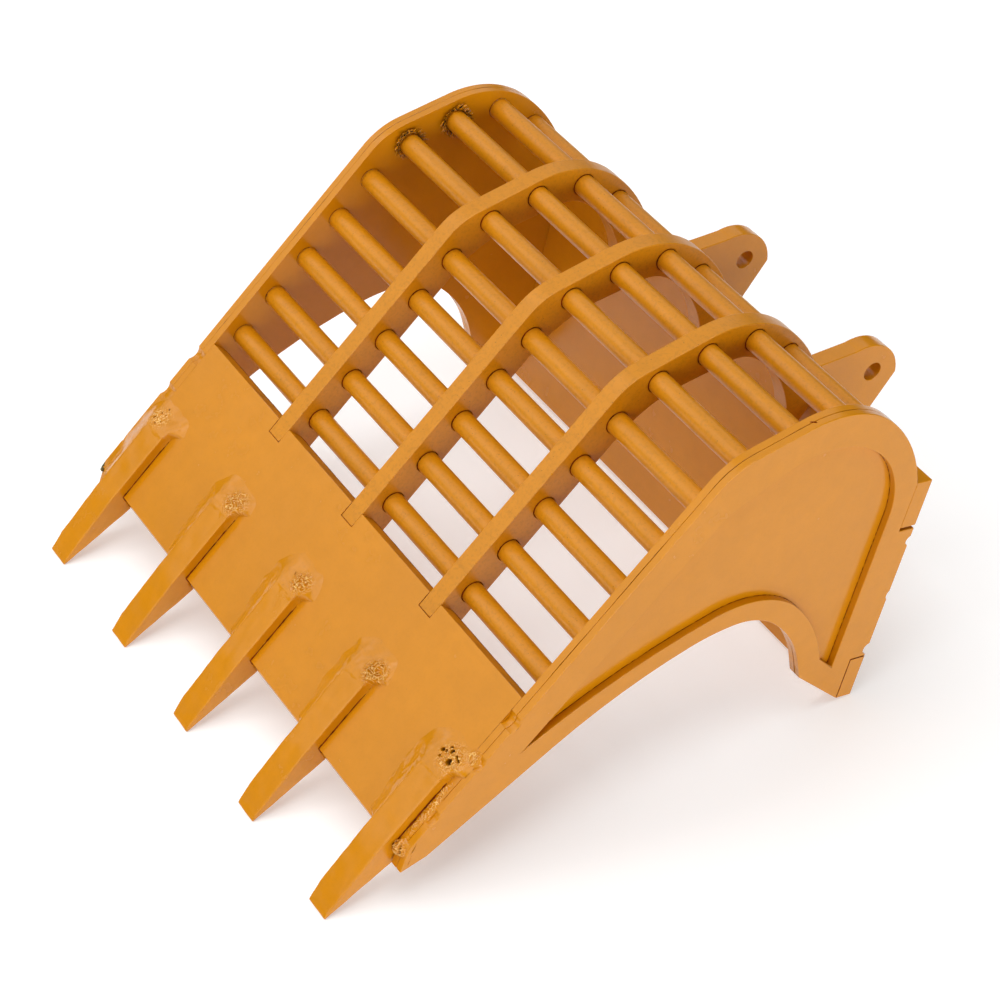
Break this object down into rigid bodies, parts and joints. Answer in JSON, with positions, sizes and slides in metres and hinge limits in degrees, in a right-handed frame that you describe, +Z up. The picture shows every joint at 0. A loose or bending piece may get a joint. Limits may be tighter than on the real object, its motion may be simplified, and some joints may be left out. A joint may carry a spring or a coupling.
{
  "type": "excavator skeleton bucket",
  "caption": "Skeleton (sieve) bucket for a scale-model excavator: lip with teeth, ribs and cross rods between side plates, and hanger ears for the pins.",
  "frame": {"origin": "bottom centre of the bounding box, as the bucket rests mouth down on its tooth tips and the mouth edge of its top plate", "axes": "+X across the bucket along the rods and pins, +Y from the teeth towards the ears, +Z up"},
  "size_m": [0.094, 0.1182, 0.0611],
  "materials": {
    "amber_paint": "satin amber paint with fine orange peel"
  },
  "bodies": {
    "root": {"lip_plate": "amber_paint", "top_plate": "amber_paint", "ear_left": "amber_paint", "ear_right": "amber_paint", "side_panel_left": "amber_paint", "side_panel_right": "amber_paint", "side_frame_left": "amber_paint", "side_frame_right": "amber_paint", "tooth_1": "amber_paint", "tooth_2": "amber_paint", "tooth_3": "amber_paint", "tooth_4": "amber_paint", "tooth_5": "amber_paint", "rib_1": "amber_paint", "rib_2": "amber_paint", "rib_3": "amber_paint", "rod_1": "amber_paint", "rod_2": "amber_paint", "rod_3": "amber_paint", "rod_4": "amber_paint", "rod_5": "amber_paint", "rod_6": "amber_paint", "rod_7": "amber_paint", "rod_8": "amber_paint", "rod_9": "amber_paint"}
  },
  "joints": []
}
